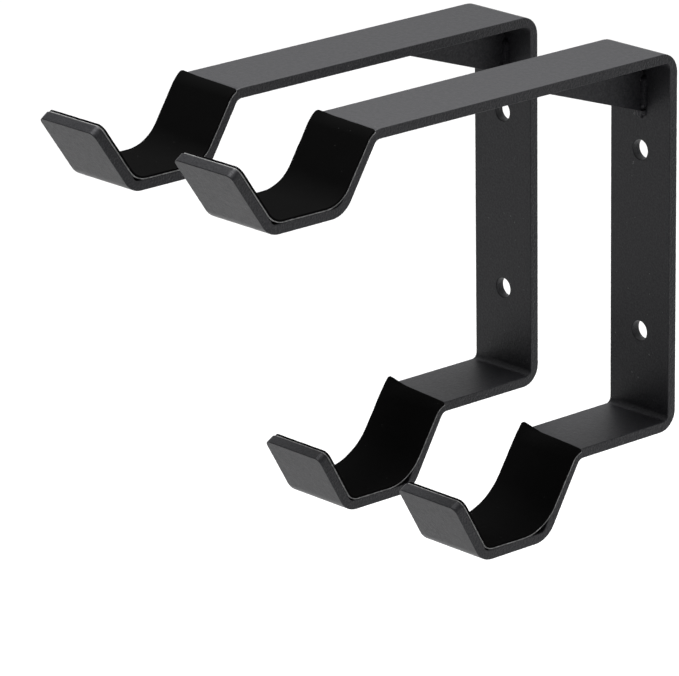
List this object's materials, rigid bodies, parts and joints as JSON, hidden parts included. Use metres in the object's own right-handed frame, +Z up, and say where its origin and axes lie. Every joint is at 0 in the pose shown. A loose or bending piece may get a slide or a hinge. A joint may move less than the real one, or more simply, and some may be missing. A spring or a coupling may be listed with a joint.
{
  "type": "bicycle wall rack",
  "caption": "Wall rack of bent steel bar brackets, each with a long upper and a short lower arm that end in felt-lined cradles for a bicycle's frame tubes.",
  "frame": {"origin": "on the wall's face, level with the top of the upper arms, midway between the two brackets", "axes": "+X to the right for someone who faces the wall, +Y into the wall, +Z up; the arms point along -Y into the room"},
  "size_m": [0.136, 0.2806, 0.2265],
  "materials": {
    "powder_coated_steel": "satin black powder coat",
    "powder_coated_weld": "satin black powder coat over a rippled weld",
    "black_felt": "thin, dense, matt black felt",
    "pale_adhesive": "matt, pale grey adhesive backing"
  },
  "bodies": {
    "root": {"right_bar": "powder_coated_steel", "right_gusset": "powder_coated_steel", "right_arm_weld_right": "powder_coated_weld", "right_arm_weld_left": "powder_coated_weld", "right_plate_weld_right": "powder_coated_weld", "right_plate_weld_left": "powder_coated_weld", "right_toe_weld": "powder_coated_weld", "right_upper_liner": "black_felt", "right_upper_adhesive": "pale_adhesive", "right_lower_liner": "black_felt", "right_lower_adhesive": "pale_adhesive", "left_bar": "powder_coated_steel", "left_gusset": "powder_coated_steel", "left_arm_weld_right": "powder_coated_weld", "left_arm_weld_left": "powder_coated_weld", "left_plate_weld_right": "powder_coated_weld", "left_plate_weld_left": "powder_coated_weld", "left_toe_weld": "powder_coated_weld", "left_upper_liner": "black_felt", "left_upper_adhesive": "pale_adhesive", "left_lower_liner": "black_felt", "left_lower_adhesive": "pale_adhesive"}
  },
  "joints": []
}
